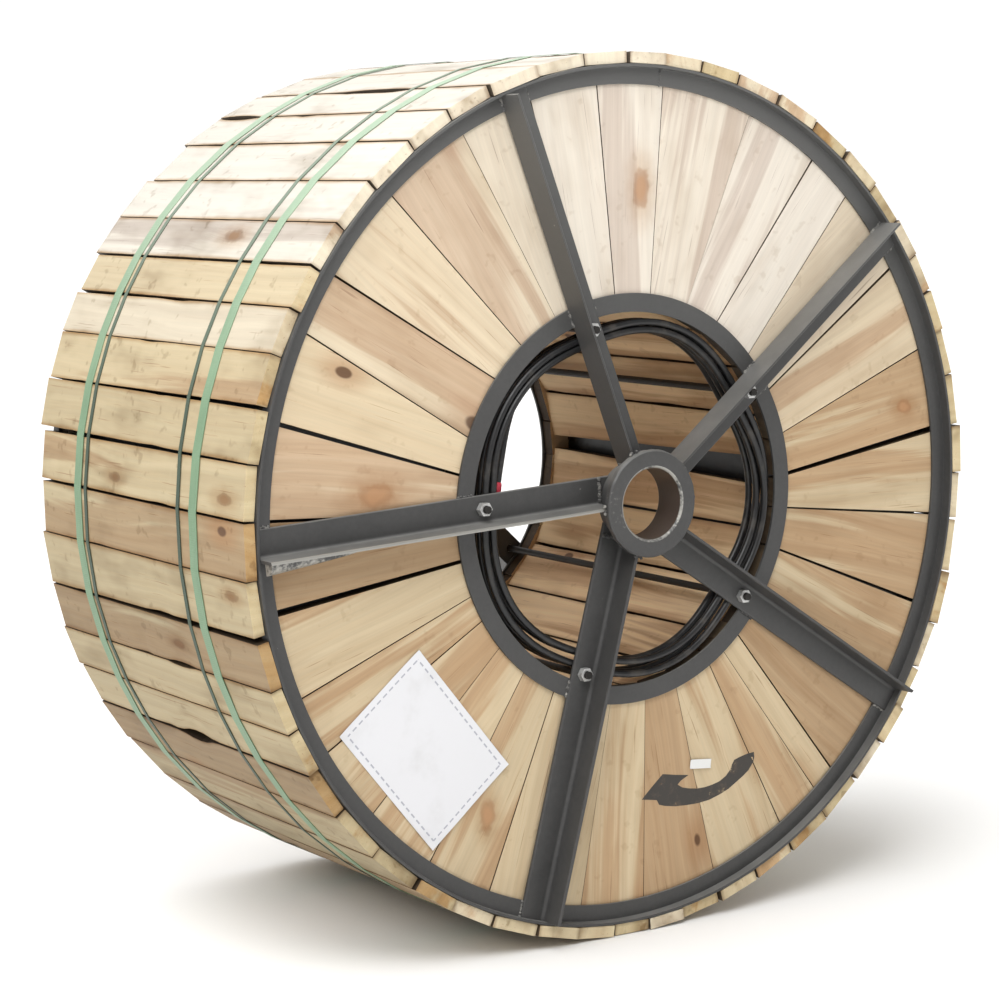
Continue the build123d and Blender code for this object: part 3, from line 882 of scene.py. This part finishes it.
capPiece = cadCopy("cable_end_cap")
roundEdges(capPiece, sharpEdges(capPiece, capStyle["sharp"]), capStyle["soften"], capStyle["segments"])
endCap = finishPiece("shrink_cap", capPiece, [capPlastic], ["cable_end_cap"])
tailPoints = coilPoints()
tailCurve = makeCord("tail_cable", tailPoints, tailCoil["diameter"])
tailLength = lengthOf(tailCurve)
tailCable = seat(bpy.data.objects.new("tail_cable", tailCurve), ["cable_tail_coil"])
repaint("cable_winding", jacket)
print("cable tail", round(tailLength, 2), "m")


# Straps

strapStyle = {"emboss": 1100.0, "sway": 0.006, "waves": 2.2, "held": 0.35}  # held: radians from the floor


def makeStrap(name, look):
    material, tree, shader = newMaterial(name)
    run = attributeOf(tree, "run")
    lines = split(run)
    fine = strapStyle["emboss"]
    slant = [calc("SINE", summed([(lines[0], fine), (lines[1], way * fine)])) for way in (1, -1)]
    wave = noiseOf(run, (9, 60, 60), 3, 0.6)
    colour = mixed(wave, look["dark"], look["light"])
    # painted light from above: the strap drawn lighter towards the top
    colour = paintedTopLight(tree, colour, look, 0.7)
    connect(shader, {"Base Color": colour, "Roughness": summed([(wave, 0.25)], look["rough"]),
                           "Specular IOR Level": 0.5}, times(*slant), (0.35, 0.0003))
    return material


strapFinish = makeStrap("green_strap", {
    "dark": (86, 118, 86), "light": (128, 156, 124), "topLit": (174, 194, 170), "rough": 0.32})
bandFinish = makeStrap("dark_band", {
    "dark": (40, 54, 42), "light": (68, 86, 68), "topLit": (146, 160, 142), "rough": 0.45})
for side in faces:
    for kind, finish, slot in (("strap", strapFinish, "green_strap"), ("band", bandFinish, "dark_band")):
        hoop = cadCopy(f"{side}_{kind}")
        run = hoop.verts.layers.float_vector.new("run")
        low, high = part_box(f"{side}_{kind}")
        for vert in hoop.verts:
            offset = vert.co - axisPoint
            angle = (atan2(offset.z, offset.x) - 1.5 * pi) % (2 * pi)
            vert[run] = (angle * rimRadius, vert.co.y - (low.y + high.y) / 2, 0)
            free = eased(min(angle, 2 * pi - angle), strapStyle["held"], strapStyle["held"])
            vert.co.y += strapStyle["sway"] * free * noise.noise((angle * strapStyle["waves"], low.y * 90, 0.5))
        finishPiece(f"{side}_{kind}_hoop", hoop, [finish], [f"{side}_{kind}"])
print("straps dressed")


# Paper and paint on the front flange

def makePaper(name, look):
    material, tree, shader = newMaterial(name)
    spot = split(attributeOf(tree, "sheet"))  # metres from the middle
    point = objectPoint(tree)
    crease = noiseOf(point, (30, 30, 30), 3, 0.55)
    soil = ramp(noiseOf(point, (14, 14, 14), 4, 0.6), 0.48, 0.8)
    colour = mixed(times(soil, 0.5), look["paper"], look["soil"])
    if look["border"]:
        lines = []
        for axis, other in ((0, 1), (1, 0)):
            ends = [half - look["inset"] for half in look["half"]]
            away = calc("SUBTRACT", ends[axis], calc("ABSOLUTE", spot[axis]))
            line = calc("LESS_THAN", calc("ABSOLUTE", away), look["border"])
            within = calc("LESS_THAN", calc("ABSOLUTE", spot[other]), ends[other])
            dash = calc("GREATER_THAN", calc("FRACT", times(spot[other], 85.0)), 0.38)
            lines.append(times(line, times(within, dash)))
        ink = calc("MAXIMUM", *lines)
        colour = mixed(times(ink, 0.75), colour, look["ink"])
    connect(shader, {"Base Color": colour, "Roughness": 0.5, "Specular IOR Level": 0.4}, crease, (0.2, 0.0015))
    return material


sheetStyle = {"grid": (42, 30), "wave": 0.0012, "waves": 14, "lift": 0.0012, "liftPower": 8, "skin": 0.0003}


def laySheet(name, node, finish):  # a thin paper that follows the boards, with its corners lifting a little
    solid = cadCopy(node)
    back = max(vert.co.y for vert in solid.verts)
    corners = [vert.co.copy() for vert in solid.verts if vert.co.y > back - 1e-5]
    solid.free()
    centre = sum(corners, Vector()) / len(corners)
    corners.sort(key=lambda spot: atan2(spot.z - centre.z, spot.x - centre.x))
    sideways, upward = corners[1] - corners[0], corners[3] - corners[0]
    if sideways.length < upward.length:
        sideways, upward = upward, -sideways
    mesh = bmesh.new()
    bmesh.ops.create_grid(mesh, x_segments=sheetStyle["grid"][0], y_segments=sheetStyle["grid"][1], size=1)
    place = mesh.verts.layers.float_vector.new("sheet")
    for vert in mesh.verts:
        u, v = vert.co.x / 2, vert.co.y / 2
        spot = sideways * u + upward * v
        vert[place] = (u * sideways.length, v * upward.length, 0)
        wave = 0.5 + 0.5 * noise.noise((spot.x * sheetStyle["waves"], spot.z * sheetStyle["waves"], 3.1))
        corner = abs(vert.co.x * vert.co.y) ** sheetStyle["liftPower"]
        out = 2 * sheetStyle["skin"] + sheetStyle["wave"] * wave * wave + sheetStyle["lift"] * corner
        vert.co = centre + spot - Vector((0, out, 0))
    for face in mesh.faces:
        face.normal_update()
    bmesh.ops.recalc_face_normals(mesh, faces=mesh.faces)
    bmesh.ops.solidify(mesh, geom=list(mesh.faces), thickness=sheetStyle["skin"])
    bmesh.ops.recalc_face_normals(mesh, faces=mesh.faces)
    return finishPiece(name, mesh, [finish], [node])


placardPaper = makePaper("placard_paper", {
    "paper": (222, 222, 225), "soil": (196, 195, 194), "ink": (150, 152, 164), "border": 0.0011, "inset": 0.009,
    "half": (0.108, 0.077)})
stickerPaper = makePaper("sticker_paper", {"paper": (226, 226, 224), "soil": (204, 200, 194), "border": 0})
laySheet("blank_placard", "placard", placardPaper)
laySheet("blank_sticker", "sticker", stickerPaper)


def makeStencil(name, look):
    material, tree, shader = newMaterial(name)
    point = objectPoint(tree)
    grain = noiseOf(point, (160, 160, 22), 4, 0.6)
    thin = ramp(noiseOf(point, (60, 60, 60), 4, 0.65), 0.5, 0.75)
    colour = mixed(times(thin, 0.6), look["paint"], look["thin"])
    alpha = ramp(summed([(grain, 0.5), (thin, 0.35)]), 0.42, 0.56, 1.0, 0.55)
    connect(shader, {"Base Color": colour, "Alpha": alpha, "Roughness": 0.7}, grain, (0.2, 0.0004))
    return material


rollArrow = {
    "outline": ((26, -413), (44, -397), (62, -382), (85, -386), (107, -389), (94, -395), (88, -400), (96, -405),
        (108, -408), (122, -410), (136, -410), (150, -408), (162, -405), (173, -399), (181, -391), (184, -384),
        (188, -378), (198, -375), (212, -372), (223, -371), (224, -378), (221, -387), (214, -396), (204, -403),
        (192, -410), (178, -418), (162, -424), (144, -429), (124, -431), (104, -431), (84, -430), (66, -427),
        (56, -424), (52, -417), (40, -415)),
    "film": 0.00012, "cells": 26, "castFrom": 0.1, "castTo": 0.11, "deepest": 0.004}  # outline in millimetres


def layStencil(name, style, finish):  # paint that lies on the boards' own faces
    boards = bpy.data.objects["front_fan_boards"]
    tree = BVHTree.FromObject(boards, bpy.context.evaluated_depsgraph_get())
    mesh = bmesh.new()
    rim = [mesh.verts.new(axisPoint + Vector((x / 1000, 0, z / 1000))) for x, z in style["outline"]]
    bmesh.ops.triangle_fill(mesh, use_beauty=True, use_dissolve=False,
                            edges=[mesh.edges.new((rim[i - 1], rim[i])) for i in range(len(rim))])
    ways = Vector((1, 0, 0)), Vector((0, 0, 1))
    spans = [[way.dot(vert.co) for vert in mesh.verts] for way in ways]
    for step in range(1, style["cells"]):
        for way, span in zip(ways, spans):
            cut = min(span) + (max(span) - min(span)) * step / style["cells"]
            everything = list(mesh.verts) + list(mesh.edges) + list(mesh.faces)
            bmesh.ops.bisect_plane(mesh, geom=everything, dist=1e-6, plane_co=way * cut, plane_no=way)
    for vert in mesh.verts:
        start = Vector((vert.co.x, flangePlane - style["castFrom"], vert.co.z))
        hit = tree.ray_cast(start, Vector((0, 1, 0)), style["castTo"])[0]
        onBoard = hit and hit.y < flangePlane + style["deepest"]
        vert.co.y = (hit.y if onBoard else flangePlane) - style["film"]
    for face in mesh.faces:
        if face.normal.y > 0:
            face.normal_flip()
    return finishPiece(name, mesh, [finish])


layStencil("roll_arrow", rollArrow, makeStencil("stencil_paint", {"paint": (62, 58, 54), "thin": (104, 90, 74)}))
print("paper and paint laid")


# Stage

stage = {
    "floor": 40.0, "floorColours": ((240, 240, 239), (244, 244, 243)), "sky": 0.42,
    "skyColour": (1.0, 0.99, 0.98), "backdrop": 1.05, "backdropSide": (0.56, 0.83, 0.0),
    "backdropEdge": (0.2, 0.85), "sun": {"from": (-0.55, 0.0, 1.0), "spread": 70, "strength": 3.2},
    "lamp": {"at": (-1.0, -1.7, 2.3), "towards": (0.0, -0.3, 1.05), "size": 1.1, "watts": 26}}


def hang(name, data):
    holder = bpy.data.objects.new(name, data)
    bpy.context.scene.collection.objects.link(holder)
    return holder


def makeFloor():
    material, tree, shader = newMaterial("pale_floor")
    cloud = noiseOf(objectPoint(tree), (0.7, 0.7, 0.7), 3)
    colour = mixed(cloud, *stage["floorColours"])
    connect(shader, {"Base Color": colour, "Roughness": 0.8})
    mesh = bmesh.new()
    bmesh.ops.create_grid(mesh, x_segments=1, y_segments=1, size=stage["floor"])
    data = bpy.data.meshes.new("floor")
    mesh.to_mesh(data)
    mesh.free()
    data.materials.append(material)
    hang("floor", data)


makeFloor()
sunData = bpy.data.lights.new("soft_sun", "SUN")
sunData.energy, sunData.angle = stage["sun"]["strength"], radians(stage["sun"]["spread"])
sunHolder = hang("soft_sun", sunData)
sunHolder.rotation_euler = Vector(stage["sun"]["from"]).to_track_quat("Z", "Y").to_euler()
lampData = bpy.data.lights.new("soft_lamp", "AREA")
lampData.energy, lampData.size = stage["lamp"]["watts"], stage["lamp"]["size"]
lampHolder = hang("soft_lamp", lampData)
lampHolder.location = stage["lamp"]["at"]
towards = Vector(stage["lamp"]["towards"]) - lampHolder.location
lampHolder.rotation_euler = towards.to_track_quat("-Z", "Y").to_euler()
world = bpy.data.worlds.new("studio")
world.use_nodes = True
air = world.node_tree
sky = air.nodes["Background"]
feed(sky, {"Color": (*stage["skyColour"], 1)})
heading = air.nodes.new("ShaderNodeTexCoord").outputs["Generated"]
facing = addNode("ShaderNodeVectorMath", {0: heading, 1: stage["backdropSide"]}, operation="DOT_PRODUCT")
glow = ramp(facing.outputs["Value"], *stage["backdropEdge"], stage["sky"], stage["backdrop"])  # a white backdrop
feed(sky, {"Strength": glow})
scene = bpy.context.scene
scene.world = world
scene.view_settings.view_transform = "Standard"

photoCamera = {"at": (-2.0983, -3.0563, 1.0155), "yaw": 34.227, "pitch": 6.957, "lens": 94.43, "sensor": 36.0}
camera = bpy.data.cameras.new("photo_camera")
camera.lens, camera.sensor_width = photoCamera["lens"], photoCamera["sensor"]
viewer = hang("photo_camera", camera)
viewer.location = photoCamera["at"]
viewer.rotation_euler = (radians(90 - photoCamera["pitch"]), 0, -radians(photoCamera["yaw"]))
scene.camera = viewer
print("stage set")
